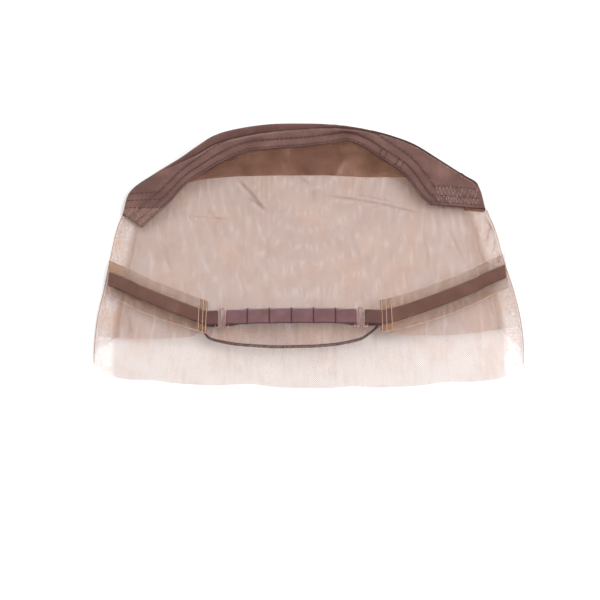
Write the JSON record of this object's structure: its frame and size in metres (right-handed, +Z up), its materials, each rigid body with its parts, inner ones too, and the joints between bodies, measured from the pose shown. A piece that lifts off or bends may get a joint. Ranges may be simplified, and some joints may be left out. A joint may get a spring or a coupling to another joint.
{
  "type": "wig cap",
  "caption": "Wig cap folded flat: stretch crown panel, fine net front and back, and an adjustable nape strap with hooks in its loops.",
  "frame": {"origin": "on the ground under the middle of the folded cap's outer box", "axes": "+X to the right across the cap seen from its open mouth, +Y from the mouth to the crown fold, +Z up from the ground"},
  "size_m": [0.289, 0.2201, 0.025],
  "materials": {
    "crown_stretch_cloth": "matt",
    "fine_net": "sheer matt",
    "casing_net": "sheer matt",
    "brown_elastic": "matt",
    "mauve_elastic": "slight sheen",
    "hook_wire": "satin"
  },
  "bodies": {
    "root": {"crown_panel": "crown_stretch_cloth", "front_lace": "fine_net", "back_lace": "fine_net", "casing_left": "casing_net", "casing_right": "casing_net", "elastic_left": "brown_elastic", "elastic_right": "brown_elastic", "slotted_strap": "mauve_elastic", "hook_left": "hook_wire", "hook_right": "hook_wire"}
  },
  "joints": []
}
